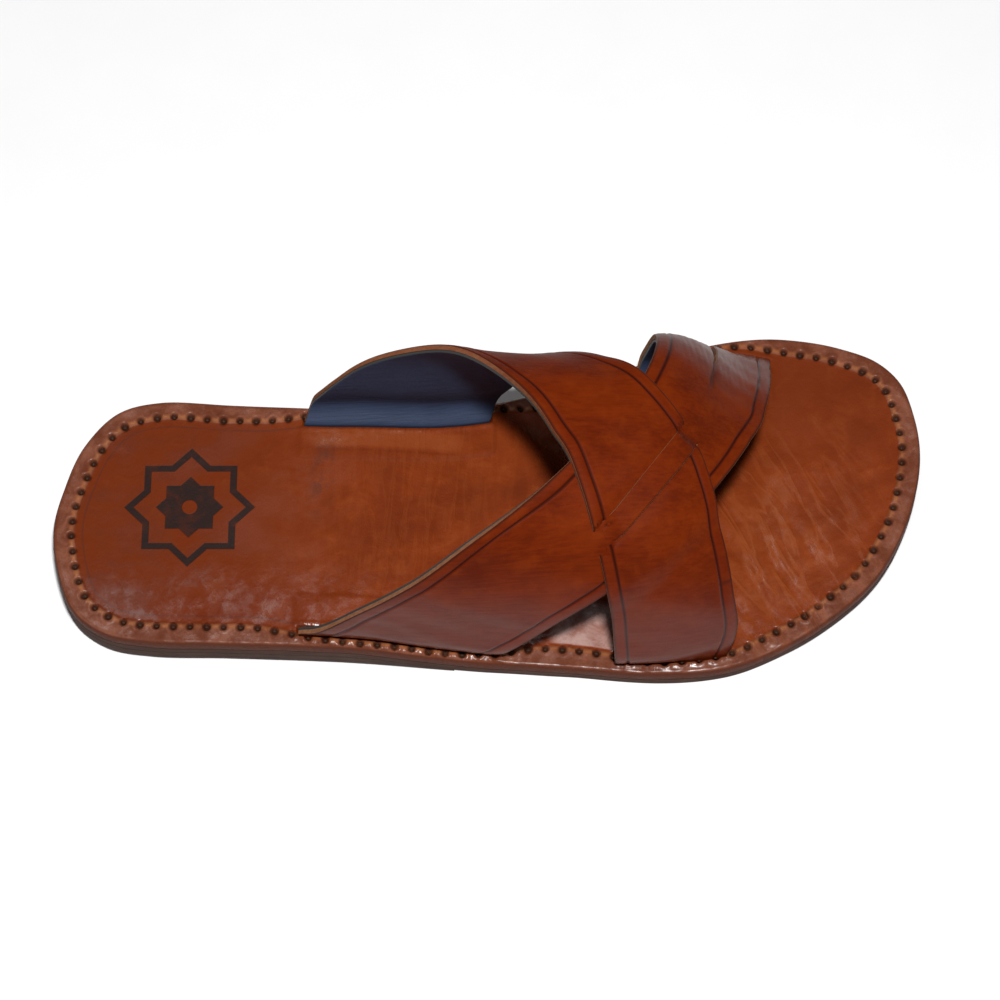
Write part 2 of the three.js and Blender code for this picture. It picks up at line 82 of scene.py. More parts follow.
# turn, middle of the keeper as a share across the under strap, share of its full rise
keeperTable = [
    (50, 0.64, 0), (56, 0.635, 0.06), (60, 0.63, 0.55), (63, 0.625, 1), (75, 0.6, 1),
    (91, 0.585, 1), (94, 0.58, 0.55), (98, 0.575, 0.06), (104, 0.57, 0),
]
probe = 0.5


def smooth(v):
    # 0 to 1 with level ends: three squares less two cubes
    t = np.clip(v, 0, 1)
    return t * t * (3 - 2 * t)


def unit(v):
    # the same way with length one
    return v / np.linalg.norm(v, axis=-1, keepdims=True)


def bell(v):
    # one at zero, falling off with the square
    return np.exp(-v * v)


def ripple(v, seed):
    # an uneven wave from -1 to 1: three sines whose lengths don't divide each other
    return (np.sin(v + seed) + np.sin(2.37 * v + 2.1 * seed) + np.sin(5.13 * v + 3.7 * seed)) / 3


def column(rows, place):
    # one column of a table as a smooth curve: cubics whose slopes follow the neighbouring rows
    table = np.array(rows, float)
    keys, values = table[:, 0], table[:, place]
    low = np.maximum(np.arange(len(keys)) - 1, 0)
    high = np.minimum(np.arange(len(keys)) + 1, len(keys) - 1)
    slopes = (values[high] - values[low]) / (keys[high] - keys[low])

    def curve(at):
        at = np.asarray(at, float)
        i = np.clip(np.searchsorted(keys, at, side="right") - 1, 0, len(keys) - 2)
        span = keys[i + 1] - keys[i]
        t = np.clip((at - keys[i]) / span, 0, 1)
        rise = values[i + 1] - values[i]
        a, b = slopes[i] * span, slopes[i + 1] * span
        return values[i] + t * (a + t * (3 * rise - 2 * a - b + t * (a + b - 2 * rise)))

    return curve


def closedCurve(points, steps):
    # a centripetal curve through closed points, with steps points on it
    t = np.arange(steps) / steps * len(points)
    i = np.floor(t).astype(int)
    w = (t - i)[:, None]
    p0, p1, p2, p3 = (points[(i + k) % len(points)] for k in (-1, 0, 1, 2))
    pairs = ((p0, p1), (p1, p2), (p2, p3))
    d0, d1, d2 = (np.sum((b - a) ** 2, axis=1)[:, None] ** 0.25 for a, b in pairs)
    t1 = ((p1 - p0) / d0 - (p2 - p0) / (d0 + d1) + (p2 - p1) / d1) * d1
    t2 = ((p2 - p1) / d1 - (p3 - p1) / (d1 + d2) + (p3 - p2) / d2) * d1
    return p1 + w * (t1 + w * (3 * (p2 - p1) - 2 * t1 - t2 + w * (2 * (p1 - p2) + t1 + t2)))


def placeX(along):
    # x of a share of the sole's length
    return (along - 0.5) * size["soleLength"]


outline = closedCurve(
    np.stack([placeX(outlineTable[:, 0]), outlineTable[:, 1] * size["soleWidth"]], axis=1), 2640
)
tip = int(np.argmax(outline[:, 0]))
littleEdge = outline[: tip + 1]
bigEdge = np.vstack([outline[:1], outline[tip:][::-1]])
riseAt = column(riseTable, 1)
littleAt = [column(littleToeSide, k) for k in range(1, 5)]
bigAt = [column(bigToeSide, k) for k in range(1, 5)]
underRear, underFront, overRear, overFront = (column(strapTable, k) for k in range(1, 5))
keeperCentre, keeperLift = column(keeperTable, 1), column(keeperTable, 2)

# Heights along the sole
heelBack = -size["soleLength"] / 2
liftEnd = heelBack + size["heelLiftLength"]
heelRaise = size["heelLiftThickness"] + size["clearance"]
rampShare = 0.5 - np.sin(
    np.arcsin(2 * (size["heelLiftFeather"] + size["clearance"]) / heelRaise - 1) / 3
)


def ramp(x):
    # the heel lift's top: level, then down an S over the skived stretch
    skive = size["heelLiftSkive"]
    return heelRaise * (1 - smooth((x - liftEnd + skive) / skive * rampShare))


def outsoleBottom(x):
    # the ramp, then a parabola up to the toe
    fromTip = (x - size["soleLength"] / 2 + size["toeSpringLength"]) / size["toeSpringLength"]
    return ramp(x) + size["toeSpring"] * np.clip(fromTip, 0, 1) ** 2


def outsoleTop(x):
    # the outsole's thickness over its bottom
    return outsoleBottom(x) + size["outsoleThickness"]


def insoleBottom(x):
    # a clearance over the outsole
    return outsoleTop(x) + size["clearance"]


def insoleTop(x):
    # the insole's thickness over its bottom
    return insoleBottom(x) + size["insoleThickness"]


def slotLine(x, little):
    # y of the slot line: the outline moved in by the slot's inset, on either side
    along = x / size["soleLength"] + 0.5
    low = np.interp(x, littleEdge[:, 0], littleEdge[:, 1]) + size["slotInset"] * littleAt[1](along)
    high = np.interp(x, bigEdge[:, 0], bigEdge[:, 1]) - size["slotInset"] * bigAt[1](along)
    return np.where(little, low, high)


def slotWay(x, little):
    # the level way out of the last, square to the slot line
    slope = (slotLine(x + probe, little) - slotLine(x - probe, little)) / (2 * probe)
    way = np.where(little, -1.0, 1.0)
    return unit(np.stack([-slope * way, way + 0 * slope, 0 * slope], axis=-1))


def lastPoint(x, turn):
    # a superellipse over the slot lines, with a lip at each slot and a bulge of the big toe side
    along = x / size["soleLength"] + 0.5
    little = turn < 90
    full, inset, lip, bulge = (np.where(little, a(along), b(along)) for a, b in zip(littleAt, bigAt))
    cos, sin = np.cos(np.radians(turn)), np.sin(np.radians(turn))
    low, high = slotLine(x, True), slotLine(x, False)
    half = (high - low) / 2
    rise = size["instepHeight"] * riseAt(along)
    reach = ((np.abs(cos) / half) ** full + (np.abs(sin) / rise) ** full) ** (-1 / full)
    height = reach * sin
    share = height / size["lipHeight"]
    out = size["lipReach"] * lip * share**2 * np.exp(2 - 2 * share)
    out = out + size["wallBulge"] * bulge * np.sin(np.pi * np.clip(height / rise, 0, 1))
    y = low + half - reach * cos + np.where(little, -1, 1) * out
    return np.stack([x + 0 * y, y, insoleTop(x) + height], axis=-1)


def offsetPoint(x, turn, offset):
    # the same point moved out along the surface's normal, which stays level as the strap leaves its slot
    point = lastPoint(x, turn)
    alongX = lastPoint(x + probe, turn) - lastPoint(x - probe, turn)
    around = lastPoint(x, np.minimum(180, turn + probe)) - lastPoint(x, np.maximum(0, turn - probe))
    normal = unit(np.cross(alongX, around))
    level = slotWay(x, turn < 90)
    free = smooth((point[..., 2] - insoleTop(x)) / size["lipHeight"])[..., None]
    return point + unit(level + (normal - level) * free) * np.asarray(offset)[..., None]


# Mesh helpers
sharpAngle = 38  # degrees between faces from which an edge is drawn sharp


def gridFaces(ids):
    # quads between neighbours of a grid of vertex numbers
    corners = [ids[:-1, :-1], ids[1:, :-1], ids[1:, 1:], ids[:-1, 1:]]
    return np.stack(corners, axis=-1).reshape(-1, 4)


def shellFaces(kept, outer, inner):
    # both sheets where kept is true, and a wall on every line between a kept cell and a missing one
    cells = np.pad(kept, 1)
    faces = [gridFaces(outer[:, ::-1])[kept[:, ::-1].ravel()], gridFaces(inner)[kept.ravel()]]
    before, after = cells[1:-1, :-1], cells[1:-1, 1:]
    wall = np.stack([outer[:-1], outer[1:], inner[1:], inner[:-1]], axis=-1)
    faces += [wall[after & ~before], wall[before & ~after][:, ::-1]]
    before, after = cells[:-1, 1:-1], cells[1:, 1:-1]
    wall = np.stack([outer[:, :-1], inner[:, :-1], inner[:, 1:], outer[:, 1:]], axis=-1)
    faces += [wall[after & ~before], wall[before & ~after][:, ::-1]]
    return np.concatenate([f.reshape(-1, 4) for f in faces])


def newObject(name, data):
    # an object of the scene's collection
    made = bpy.data.objects.new(name, data)
    bpy.context.scene.collection.objects.link(made)
    return made


def addPiece(name, points, faces, values, look, replaced):
    # points in millimetres; values are named numbers of each point that the material reads
    used = np.zeros(len(points), bool)
    for block in faces:
        used[block.ravel()] = True
    number = np.cumsum(used) - 1
    mesh = bpy.data.meshes.new(name)
    lists = [corner for block in faces for corner in number[block].tolist()]
    mesh.from_pydata((points[used] * 0.001).tolist(), [], lists)
    for key, numbers in values.items():
        layer = mesh.attributes.new(key, "FLOAT", "POINT")
        layer.data.foreach_set("value", np.asarray(numbers, np.float32)[used])
    mesh.polygons.foreach_set("use_smooth", np.ones(len(mesh.polygons), bool))
    mesh.set_sharp_from_angle(angle=np.radians(sharpAngle))
    mesh.update()
    piece = newObject(name, mesh)
    mesh.materials.append(look)
    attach(piece, "root")
    if replaced:
        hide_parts(*replaced)
    print(name, sum(len(polygon.vertices) - 2 for polygon in mesh.polygons), "triangles")


# Shader helpers
class Value:
    # one output of a node; its operators add Math nodes
    def __init__(self, look, socket):
        self.look, self.socket = look, socket

    def math(self, operation, *others):
        return self.look.node("ShaderNodeMath", {"operation": operation}, dict(enumerate((self, *others))))

    def __add__(self, other):
        return self.math("ADD", other)

    def __sub__(self, other):
        return self.math("SUBTRACT", other)

    def __rsub__(self, other):
        return (self * -1) + other

    def __mul__(self, other):
        return self.math("MULTIPLY", other)

    __radd__ = __add__
    __rmul__ = __mul__

    def __abs__(self):
        return self.math("ABSOLUTE")

    def least(self, other):
        return self.math("MINIMUM", other)

    def most(self, other):
        return self.math("MAXIMUM", other)

    def step(self, low, high):
        # 0 below low, 1 above high and soft between
        settings = {"interpolation_type": "SMOOTHSTEP"}
        if low > high:
            return 1 - self.step(high, low)
        return self.look.node("ShaderNodeMapRange", settings, {0: self, 1: low, 2: high})

    def near(self, middle, width):
        # 1 at middle, soft down to 0 at width from it
        return abs(self - middle).step(width, 0)


class Look:
    # a material and the nodes that feed its one shader
    def __init__(self, name, **sockets):
        self.material = bpy.data.materials.new(name)
        self.material.use_nodes = True
        self.tree = self.material.node_tree
        self.shader = self.tree.nodes["Principled BSDF"]
        for key, number in sockets.items():
            self.shader.inputs[key].default_value = number
        self.place = self.node("ShaderNodeTexCoord", {}, {}, "Object")

    def node(self, kind, settings, inputs, output=0):
        made = self.tree.nodes.new(kind)
        for key, setting in settings.items():
            setattr(made, key, setting)
        for key, given in inputs.items():
            if isinstance(given, Value):
                self.tree.links.new(given.socket, made.inputs[key])
            else:
                made.inputs[key].default_value = given
        return Value(self, made.outputs[output])

    def attribute(self, name):
        return self.node("ShaderNodeAttribute", {"attribute_name": name}, {}, "Fac")

    def turned(self, scale, angle=0, centre=(0, 0, 0)):
        # Object coordinates moved to centre, turned about Z and stretched
        moved = self.node("ShaderNodeVectorMath", {"operation": "SUBTRACT"}, {0: self.place, 1: centre})
        inputs = {"Vector": moved, "Rotation": (0, 0, -np.radians(angle)), "Scale": (1, 1, 1)}
        turned = self.node("ShaderNodeMapping", {}, inputs)
        return self.node("ShaderNodeVectorMath", {"operation": "MULTIPLY"}, {0: turned, 1: scale})

    def noise(self, where, scale, detail=3, roughness=0.55, distortion=0):
        inputs = {"Vector": where, "Scale": scale, "Detail": detail,
                  "Roughness": roughness, "Distortion": distortion}
        return self.node("ShaderNodeTexNoise", {}, inputs, "Fac")

    def pores(self, scale):
        return self.node("ShaderNodeTexVoronoi", {}, {"Vector": self.place, "Scale": scale}, "Distance")

    def mix(self, factor, a, b):
        return self.node("ShaderNodeMix", {"data_type": "RGBA"}, {0: factor, 6: a, 7: b}, 2)

    def feed(self, socket, value):
        self.tree.links.new(value.socket, self.shader.inputs[socket])

    def bump(self, height, depth):
        # height from 0 to 1 stands for a depth in metres
        inputs = {"Strength": 1, "Distance": depth, "Height": height}
        self.feed("Normal", self.node("ShaderNodeBump", {}, inputs, "Normal"))

    def parts(self):
        # x and y of the Object coordinates, in metres
        return [self.node("ShaderNodeSeparateXYZ", {}, {0: self.place}, k) for k in range(2)]


# Camera, floor and light
view = {"aim": (0.0034, 0.00435, 0), "tilt": 64, "distance": 1.1, "lens": 124.54, "floor": 3, "air": 0.05}
camera = newObject("camera", bpy.data.cameras.new("camera"))
aim = Vector(view["aim"])
tilt = np.radians(view["tilt"])
camera.location = aim + Vector((0, -np.cos(tilt), np.sin(tilt))) * view["distance"]
camera.rotation_euler = (aim - camera.location).to_track_quat("-Z", "Y").to_euler()
camera.data.sensor_fit = "HORIZONTAL"
camera.data.sensor_width = 36
camera.data.lens = view["lens"]
camera.data.clip_start = 0.05
bpy.context.scene.camera = camera
bpy.context.scene.view_settings.view_transform = "Standard"

floorMesh = bpy.data.meshes.new("floor")
corners = [(x * view["floor"], y * view["floor"], 0) for x, y in ((-1, -1), (1, -1), (1, 1), (-1, 1))]
floorMesh.from_pydata(corners, [], [(0, 1, 2, 3)])
floor = newObject("floor", floorMesh)
floorLook = Look("pale floor", Roughness=0.9)
floorGrain = floorLook.noise(floorLook.place, 40, 2)
floorLook.feed("Base Color", floorLook.mix(floorGrain, (0.86, 0.86, 0.86, 1), (0.89, 0.89, 0.89, 1)))
floorMesh.materials.append(floorLook.material)

lamps = {
    # name: place, width, height, watts
    "key": ((0.06, -0.33, 1.27), 0.12, 0.12, 19.5),
    "fill": ((-0.9, -0.6, 0.9), 0.8, 0.8, 1.2),
    "gloss": ((-0.14, 0.42, 1.0), 0.4, 0.12, 0.9),
}
for name, (place, width, height, watts) in lamps.items():
    lamp = bpy.data.lights.new(name, "AREA")
    lamp.shape = "RECTANGLE"
    lamp.size, lamp.size_y, lamp.energy = width, height, watts
    lampObject = newObject(name, lamp)
    lampObject.location = place
    lampObject.rotation_euler = (Vector((0, 0, 0.02)) - Vector(place)).to_track_quat("-Z", "Y").to_euler()
world = bpy.data.worlds.new("studio")
world.use_nodes = True
air = world.node_tree.nodes["Background"].inputs
air["Color"].default_value = (1, 1, 1, 1)
air["Strength"].default_value = view["air"]
bpy.context.scene.world = world
print("camera, floor and light ready")

# Leathers
stamp = {"x": -0.094, "y": -0.004, "outer": 0.0135, "line": 0.0017, "inner": 0.0075, "dot": 0.0024}
footbedColours = {
    "tan": (0.2, 0.031, 0.0035, 1), "deepTan": (0.125, 0.018, 0.003, 1), "lightTan": (0.27, 0.062, 0.014, 1),
    # the near-black hole colour is painted shade inside the stitch holes
    "rim": (0.2, 0.066, 0.036, 1), "rimDark": (0.12, 0.03, 0.013, 1), "hole": (0.02, 0.007, 0.004, 1),
    # the colour of the pillows between the holes is partly their own lighter tone and partly a painted glint
    "bridgeGlint": (0.32, 0.105, 0.03, 1), "smudge": (0.06, 0.018, 0.012, 1), "ink": (0.016, 0.011, 0.01, 1),
    # the pale sheen colour is a painted reflection
    "edge": (0.075, 0.026, 0.017, 1), "heel": (0.098, 0.015, 0.003, 1), "paintedSheen": (0.5, 0.34, 0.3, 1),
}
strapColours = {
    "tan": (0.15, 0.0175, 0.0014, 1), "deepTan": (0.092, 0.0095, 0.0013, 1),
    "amber": (0.205, 0.03, 0.0025, 1), "margin": (0.12, 0.012, 0.0015, 1),
    "groove": (0.028, 0.004, 0.002, 1), "dark": (0.04, 0.008, 0.004, 1),
    "rawUnder": (0.3, 0.17, 0.09, 1), "rawOver": (0.23, 0.11, 0.055, 1),
}


def footbedLook():
    look = Look("footbed leather", **{"Specular IOR Level": 0.07, "Coat Roughness": 0.27})
    colour = footbedColours
    x, y = look.parts()
    row, hole, bridgeGlint, edge, tail = (look.attribute(k) for k in ("row", "hole", "bridgeGlint", "edge", "tail"))
    cloud = look.noise(look.turned((1, 1.6, 1), 8), 34, 4, 0.6)
    mottle = look.noise(look.place, 130, 5, 0.65, 0.4)
    streak = look.noise(look.turned((14, 90, 90), 4), 6, 4, 0.6)
    fine = look.noise(look.place, 900, 3, 0.6)
    tone = cloud.step(0.3, 0.66) * 0.7 + mottle.step(0.3, 0.7) * 0.3
    base = look.mix(tone, colour["deepTan"], colour["tan"])
    base = look.mix(mottle.step(0.5, 0.8) * 0.35, base, colour["lightTan"])
    base = look.mix(streak.step(0.5, 0.85) * 0.3, base, colour["deepTan"])
    # darker at the heel and along the far side of the forefoot
    deep = x.step(-0.03, -0.1) * 0.85 + x.step(0.05, 0.07) * y.step(0.01, 0.045) * 0.55
    tone = (0.1 + cloud.step(0.38, 0.6) * 0.6 + mottle.step(0.35, 0.65) * 0.3).least(1)
    base = look.mix(deep * tone, base, colour["heel"])
    # the dark streaky smudge behind the straps, and the worn light patch of the forefoot
    smudge = (x + 0.053 - y * 0.1).near(0, 0.006) * y.near(0.008, 0.024)
    base = look.mix(smudge * mottle.step(0.4, 0.6) * 0.8, base, colour["smudge"])
    worn = x.near(0.09, 0.036) * y.near(-0.02, 0.04)
    base = look.mix(worn * mottle.step(0.25, 0.7) * 0.42, base, colour["lightTan"])
    # the patch between the straps is painted pale, a painted reflection, and the pressed band beside the far
    # strap end
    paintedSheen = x.near(0.034, 0.022).step(0.1, 0.5) * y.near(-0.047, 0.018).step(0.15, 0.5)
    paintedSheen = paintedSheen * (1 - row.step(2.4, 1.6)) * (0.35 + mottle.step(0.35, 0.6) * 0.5)
    base = look.mix(paintedSheen * 0.85, base, colour["paintedSheen"])
    band = x.near(-0.032, 0.03).step(0, 0.25)
    base = look.mix(band * y.near(0.0205, 0.005).step(0.1, 0.6) * 0.4, base, colour["lightTan"])
    base = look.mix(band * y.near(0.0162, 0.0009) * 0.5, base, colour["deepTan"])
    # a pressed line inside the stitch row round the heel, and the marks of the strap ends below
    line = row.near(3.6, 0.7) * x.step(-0.04, -0.06)
    base = look.mix(line * 0.45, base, colour["smudge"])
    base = look.mix(tail.near(0.5, 0.5) * 0.35, base, colour["deepTan"])
    # the stamp is two turned squares: a pressed outline, and a smaller star inside it with an open middle
    soft = 0.0002
    sx, sy = abs(x - stamp["x"]), abs(y - stamp["y"])
    star = sx.most(sy).least((sx + sy) * np.sqrt(0.5))
    around = (sx * sx + sy * sy).step((stamp["dot"] - soft) ** 2, (stamp["dot"] + soft) ** 2)
    inner = star.step(stamp["inner"] + soft, stamp["inner"] - soft) * around
    pressed = star.near(stamp["outer"], stamp["line"]).step(0.2, 0.45).most(inner)
    base = look.mix(pressed * (0.75 + mottle.step(0.3, 0.5) * 0.2), base, colour["ink"])
    rim = look.mix(mottle.step(0.35, 0.7), colour["rimDark"], colour["rim"])
    base = look.mix(row.step(1.2, 0.8), base, rim)
    # the pillows between the holes are painted lighter: partly their own tone, partly a painted glint
    base = look.mix(bridgeGlint * mottle.step(0.2, 0.6) * 0.75, base, colour["bridgeGlint"])
    # the stitch holes are painted near black: painted shade in the recesses
    base = look.mix(hole * 0.9, base, colour["hole"])
    side = look.mix(streak, colour["edge"], colour["rimDark"])
    base = look.mix(edge, base, side)
    # creases follow a stretched noise where it passes its middle; their crests are painted paler, a painted
    # highlight
    forefoot = x.near(0.09, 0.045) * y.near(-0.015, 0.055)
    waist = x.near(-0.02, 0.06) * (1 - edge)
    across = look.noise(look.turned((165, 34, 60), 28, (0.09, -0.02, 0)), 1, 3, 0.5, 0.7)
    upright = look.noise(look.turned((300, 40, 60), -4, (-0.02, 0, 0)), 1, 3, 0.55, 0.4)
    crest = abs(across - 0.5).step(0.075, 0) * forefoot
    ripples = abs(upright - 0.5).step(0.09, 0) * waist
    base = look.mix(crest * 0.5 + ripples * 0.14, base, colour["lightTan"])
    look.feed("Base Color", base)
    # polish: on the rim, along the near side, round the heel and in worn patches
    polish = (y.step(-0.02, -0.042) * 0.8).most(row.step(1.2, 0.8) * 0.36).most(worn * 0.35).most(paintedSheen)
    polish = polish.most(band * y.near(0.0205, 0.005) * 0.6)
    crumple = look.noise(look.place, 230, 5, 0.65, 0.4)
    polish = polish * mottle.step(0.3, 0.65) * (0.25 + crumple.step(0.42, 0.62))
    polish = polish + cloud.step(0.45, 0.7) * 0.14 + crest * (0.15 + crumple.step(0.45, 0.62) * 0.5)
    look.feed("Coat Weight", (polish * (1 - edge) * (1 - hole)).least(1) * (1 - pressed * 0.7))
    look.feed("Roughness", 0.5 + mottle * 0.15)
    height = fine * 0.2 + look.pores(1500) * 0.16 + mottle * 0.5 - pressed * 0.3
    height = height + crest * 0.5 + ripples * 0.16
    height = height + crumple * (row.step(1.2, 0.4) * 0.7 + y.step(-0.01, -0.035) * 1.3 + 0.35)
    look.bump(height, 0.0004)
    return look.material


def strapLook(name, raw, redMargin):
    look = Look(name, **{"Specular IOR Level": 0.04, "Coat Roughness": 0.26})
    colour = strapColours
    border, cut, shade, turn = (look.attribute(k) for k in ("border", "cut", "shade", "turn"))
    cloud = look.noise(look.turned((1, 1.5, 1), 12), 42, 4, 0.6)
    mottle = look.noise(look.place, 170, 5, 0.6, 0.3)
    streak = look.noise(look.turned((16, 260, 260), 3), 4, 5, 0.65)
    fine = look.noise(look.place, 1100, 3, 0.6)
    base = look.mix((cloud * 0.6 + streak * 0.4).step(0.34, 0.6), colour["deepTan"], colour["tan"])
    base = look.mix(mottle.step(0.45, 0.8) * 0.45 + cloud.step(0.55, 0.75) * 0.3, base, colour["amber"])
    # the steep ends near the slots are darkened: painted shade where they turn away from the light; the same
    # mask makes them glossier below
    ends = turn.step(56, 18).most(turn.step(118, 150) * 0.8)
    base = look.mix(ends * 0.65, base, colour["deepTan"])
    base = look.mix(border.near(2.5, 2.2) * redMargin, base, colour["margin"])
    base = look.mix(border.near(4.1, 1.7) * 0.45, base, colour["margin"])
    base = look.mix(border.near(4, 0.8) * (0.75 + streak * 0.4).least(1), base, colour["groove"])
    # a dark line along every strap edge: partly the edge's own dark outline, partly painted contact shadow
    base = look.mix(border.step(1.1, 0.25) * 0.85, base, colour["dark"])
    base = look.mix(shade * 0.85, base, colour["dark"])
    base = look.mix(cut.step(0.45, 0.6), base, look.mix(streak, colour[raw], colour["margin"]))
    look.feed("Base Color", base)
    look.feed("Roughness", 0.5 + mottle * 0.12 + cut.step(0.45, 0.6) * 0.2)
    # the steep ends are polished, with the streaks of stretched grain
    look.feed("Coat Weight", ends * (0.25 + streak * 0.5) * (1 - cut))
    height = fine * 0.1 + mottle * 0.22 + streak * 0.34 + look.pores(1700) * 0.12
    look.bump(height, 0.0003)
    return look.material


def liningLook():
    look = Look("lining leather", **{"Specular IOR Level": 0.25})
    cut = look.attribute("cut")
    cloud = look.noise(look.place, 60, 4, 0.6)
    streak = look.noise(look.turned((10, 200, 200), 3), 5, 4, 0.6)
    base = look.mix(cloud * 0.6 + streak * 0.4, (0.016, 0.025, 0.05, 1), (0.042, 0.06, 0.115, 1))
    base = look.mix(cut.step(0.45, 0.6), base, (0.036, 0.037, 0.033, 1))
    look.feed("Base Color", base)
    look.feed("Roughness", 0.5 + cloud * 0.18)
    look.bump(streak * 0.6 + cloud * 0.3 + look.noise(look.place, 900, 3) * 0.15, 0.0003)
    return look.material


def soleLook(name, dark, light, roughness):
    look = Look(name, **{"Specular IOR Level": 0.04})
    edge = look.attribute("edge")
    layers = look.noise(look.turned((30, 30, 700)), 1.3, 3, 0.5)
    mottle = look.noise(look.place, 90, 5, 0.65, 0.3)
    fine = look.noise(look.place, 800, 3, 0.6)
    base = look.mix((layers * 0.35 + mottle * 0.65).step(0.3, 0.7), dark, light)
    look.feed("Base Color", base)
    look.feed("Roughness", roughness + mottle * 0.25)
    look.bump(fine * 0.25 + mottle * 0.4 + layers * edge * 0.3, 0.0003)
    return look.material


def threadLook():
    look = Look("waxed thread", **{"Specular IOR Level": 0.15})
    twist = look.noise(look.place, 1500, 2)
    look.feed("Base Color", look.mix(twist, (0.03, 0.013, 0.007, 1), (0.075, 0.035, 0.018, 1)))
    look.feed("Roughness", 0.5 + twist * 0.2)
    look.bump(twist, 0.0002)
    return look.material


looks = {
    "footbed": footbedLook(),
    "under": strapLook("under strap leather", "rawUnder", 0.2),
    "over": strapLook("over strap leather", "rawOver", 0.5),
    "lining": liningLook(),
    "outsole": soleLook("outsole leather", (0.06, 0.031, 0.024, 1), (0.09, 0.053, 0.043, 1), 0.55),
    "lift": soleLook("heel lift leather", (0.062, 0.036, 0.029, 1), (0.095, 0.06, 0.05, 1), 0.6),
    "thread": threadLook(),
}
print("materials ready")


# Sole layers
def soleRing(half):
    # even steps along both halves of the outline, with the level way in at each point
    halves = []
    for edge in (littleEdge, bigEdge):
        steps = np.append(0, np.cumsum(np.linalg.norm(np.diff(edge, axis=0), axis=1)))
        at = np.linspace(0, steps[-1], half + 1)
        halves.append(np.stack([np.interp(at, steps, edge[:, k]) for k in (0, 1)], axis=1))
    return closeRing(np.vstack([halves[0], halves[1][1:-1][::-1]]))


def closeRing(ring):
    # the ring and, at each of its points, the level way in: square to the line between its neighbours
    along = np.roll(ring, -1, axis=0) - np.roll(ring, 1, axis=0)
    along = along / np.linalg.norm(along, axis=1, keepdims=True)
    return ring, np.stack([-along[:, 1], along[:, 0]], axis=1)


def wrapFaces(ids):
    # faces of a stack of rings, from the lowest ring to the last one
    nextIds = np.roll(ids, -1, axis=1)
    return np.stack([ids[:-1], nextIds[:-1], nextIds[1:], ids[1:]], axis=-1).reshape(-1, 4)


def crossFill(ringIds, ringPoints, cells, first):
    # fills a ring with straight cross lines between its two halves; first is the next free number
    half = len(ringIds) // 2
    low, high = ringIds[1:half], ringIds[:half:-1]
    share = np.arange(1, cells)[None, :, None] / cells
    a, b = ringPoints[1:half], ringPoints[:half:-1]
    inside = a[:, None] + (b - a)[:, None] * share
    ids = first + np.arange((half - 1) * (cells - 1)).reshape(half - 1, cells - 1)
    rows = np.concatenate([low[:, None], ids, high[:, None]], axis=1)
    heel = np.stack([0 * rows[0, 1:] + ringIds[0], rows[0, :-1], rows[0, 1:]], axis=1)
    toe = np.stack([0 * rows[0, 1:] + ringIds[half], rows[-1, 1:], rows[-1, :-1]], axis=1)
    return inside.reshape(-1, 2), [gridFaces(rows), heel, toe]


footbed = {
    "stitchPitch": 5.25, "holeSize": 1.15, "holeDepth": 1.2, "pillow": 0.22, "sunk": 0.12,
    "slotDepth": 1.8, "pucker": 0.3, "tailMark": 0.28, "rimReach": 9.9, "rimCell": 0.42, "crossCells": 118,
    "farFromRow": 20, "halfRing": 800, "beadLong": 0.55, "beadWide": 0.38, "beadHigh": 0.4, "beadSunk": 0.9,
}
# along, inset of the stitch row on the little toe side and on the big toe side
stitchTable = [
    (0, 5.8, 5.8), (0.1, 5.8, 5.8), (0.23, 5.8, 5.8), (0.27, 4.6, 4.2), (0.31, 2.6, 2.2), (0.4, 2.3, 2),
    (0.46, 2.4, 2), (0.51, 3.6, 2.6), (0.55, 5.9, 5), (0.62, 6, 5.6), (0.65, 4.6, 5.4), (0.69, 4.2, 3),
    (0.74, 4.4, 2), (0.79, 5, 2.4), (0.83, 5.6, 4.6), (0.87, 5.8, 5.6), (1, 5.8, 5.8),
]
# in from the outline, height as a share of the layer: the footbed's rounded rim, and the layers below
rimSection = [
    (9, 0), (3, 0), (0.25, 0), (0.06, 0.04), (0, 0.1), (0, 0.35), (0, 0.6), (0.1, 0.74), (0.35, 0.88),
    (0.7, 0.955), (1.2, 1),
]
outsole = {"halfRing": 500, "crossCells": 8, "wave": 0.08}
outsoleSection = [(0.12, 0), (0, 0.12), (0, 0.5), (0, 0.88), (0.22, 1)]
heelLift = {"halfRing": 500, "frontSteps": 60, "frontGap": 0.2, "belowTop": 0.05}
liftSection = [(1, 0), (0.5, 0.08), (0.2, 0.2), (0, 0.42), (0, 1)]
liftRings = [0.02, 0.25, 0.5, 0.75, 0.94]  # shares of the way out from the middle
# x, y, angle, half length, half width and depth of the footbed's main creases; below 0 is a ridge
creases = np.array([
    (-26, -6, 82, 15, 1.6, 0.30), (-17, -10, 78, 17, 1.5, 0.28), (-36, -2, 96, 14, 2.2, 0.22),
    (-8, 2, 86, 14, 1.8, 0.2), (-31, -28, 60, 9, 1.5, 0.25), (-44, 22, 5, 12, 1.3, -0.25),
    (-49, -33, 20, 9, 1.6, 0.22), (74, -12, -62, 10, 1.3, 0.3), (80, -22, -60, 14, 1.2, 0.34),
    (86, -14, -64, 13, 1.2, 0.3), (92, -26, -58, 11, 1.3, 0.3), (98, -12, -66, 12, 1.4, 0.24),
    (78, -36, -52, 9, 1.3, 0.28), (70, -26, -60, 9, 1.2, 0.26), (88, -38, -48, 10, 1.4, 0.22),
    (104, 6, -74, 13, 1.8, 0.2), (76, -4, -58, 9, 1.1, 0.28), (84, -48, -40, 8, 1.3, 0.28),
    (20, -44, 20, 9, 1.4, 0.28), (30, -38, 65, 6, 1.3, 0.25),
    (-60, 6, 100, 11, 1.8, 0.24), (-50, -10, 30, 10, 2.4, 0.22), (-112, 4, 88, 22, 5, 0.25),
])


